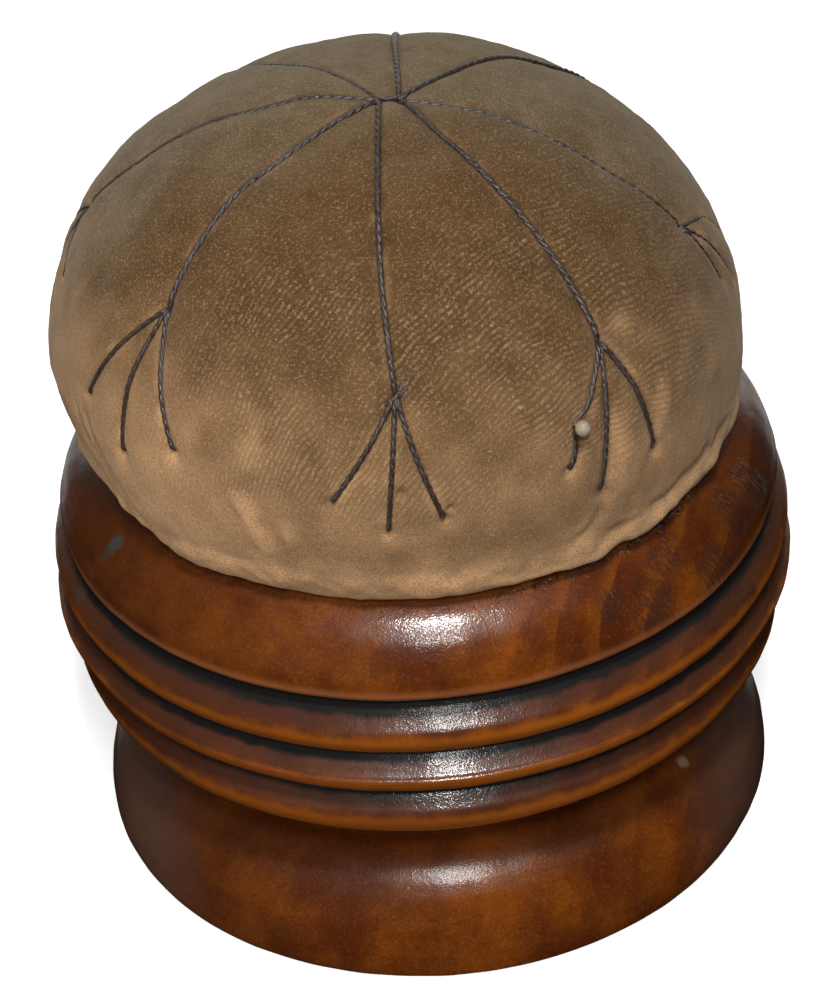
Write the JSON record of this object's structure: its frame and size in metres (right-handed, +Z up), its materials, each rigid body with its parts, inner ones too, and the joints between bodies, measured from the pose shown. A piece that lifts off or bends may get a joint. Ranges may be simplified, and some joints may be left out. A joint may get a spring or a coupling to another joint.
{
  "type": "pin cushion",
  "caption": "Turned wooden stand with a reeded waist and flared foot, holding a domed velvet pin cushion star-stitched in dark thread, with a pull-out glass-headed pin.",
  "frame": {"origin": "centre of the foot's flat underside, on the surface the stand rests on", "axes": "+Z up along the stand's turning axis, -Y towards the front of the cushion, +X to the viewer's right"},
  "size_m": [0.079, 0.079, 0.0869],
  "materials": {
    "stained_wood": "dark stained, satin varnish, blackened grooves",
    "velvet": "worn olive-brown velvet",
    "calico": "plain unbleached weave",
    "sawdust": "packed sawdust",
    "card": "matt pasteboard",
    "linen_thread": "plain linen thread",
    "embroidery_thread": "dark brown two-ply twist, slight lustre",
    "pin_glass": "opaque pale glass",
    "pin_steel": "polished wire"
  },
  "bodies": {
    "stand": {"wood_stand": "stained_wood", "velvet_cover": "velvet", "lining_bag": "calico", "stuffing": "sawdust", "card_disc": "card", "gathering_thread": "linen_thread", "tie_stitch": "embroidery_thread", "ray_front": "embroidery_thread", "toe_front_1": "embroidery_thread", "toe_front_2": "embroidery_thread", "toe_front_3": "embroidery_thread", "ray_front_left": "embroidery_thread", "toe_front_left_1": "embroidery_thread", "toe_front_left_2": "embroidery_thread", "toe_front_left_3": "embroidery_thread", "ray_left": "embroidery_thread", "toe_left_1": "embroidery_thread", "toe_left_2": "embroidery_thread", "toe_left_3": "embroidery_thread", "ray_back_left": "embroidery_thread", "toe_back_left_1": "embroidery_thread", "toe_back_left_2": "embroidery_thread", "toe_back_left_3": "embroidery_thread", "ray_back": "embroidery_thread", "toe_back_1": "embroidery_thread", "toe_back_2": "embroidery_thread", "toe_back_3": "embroidery_thread", "ray_back_right": "embroidery_thread", "toe_back_right_1": "embroidery_thread", "toe_back_right_2": "embroidery_thread", "toe_back_right_3": "embroidery_thread", "ray_right": "embroidery_thread", "toe_right_1": "embroidery_thread", "toe_right_2": "embroidery_thread", "toe_right_3": "embroidery_thread", "ray_front_right": "embroidery_thread", "toe_front_right_1": "embroidery_thread", "toe_front_right_2": "embroidery_thread", "toe_front_right_3": "embroidery_thread", "toe_front_right_1_below_pin": "embroidery_thread"},
    "pin": {"pin_head": "pin_glass", "pin_shank": "pin_steel"}
  },
  "joints": [
    {"name": "pin_pull", "type": "slide", "parent": "stand", "child": "pin", "axis": [0.4636, -0.803, 0.3746], "range_m": [0, 0.035]}
  ]
}
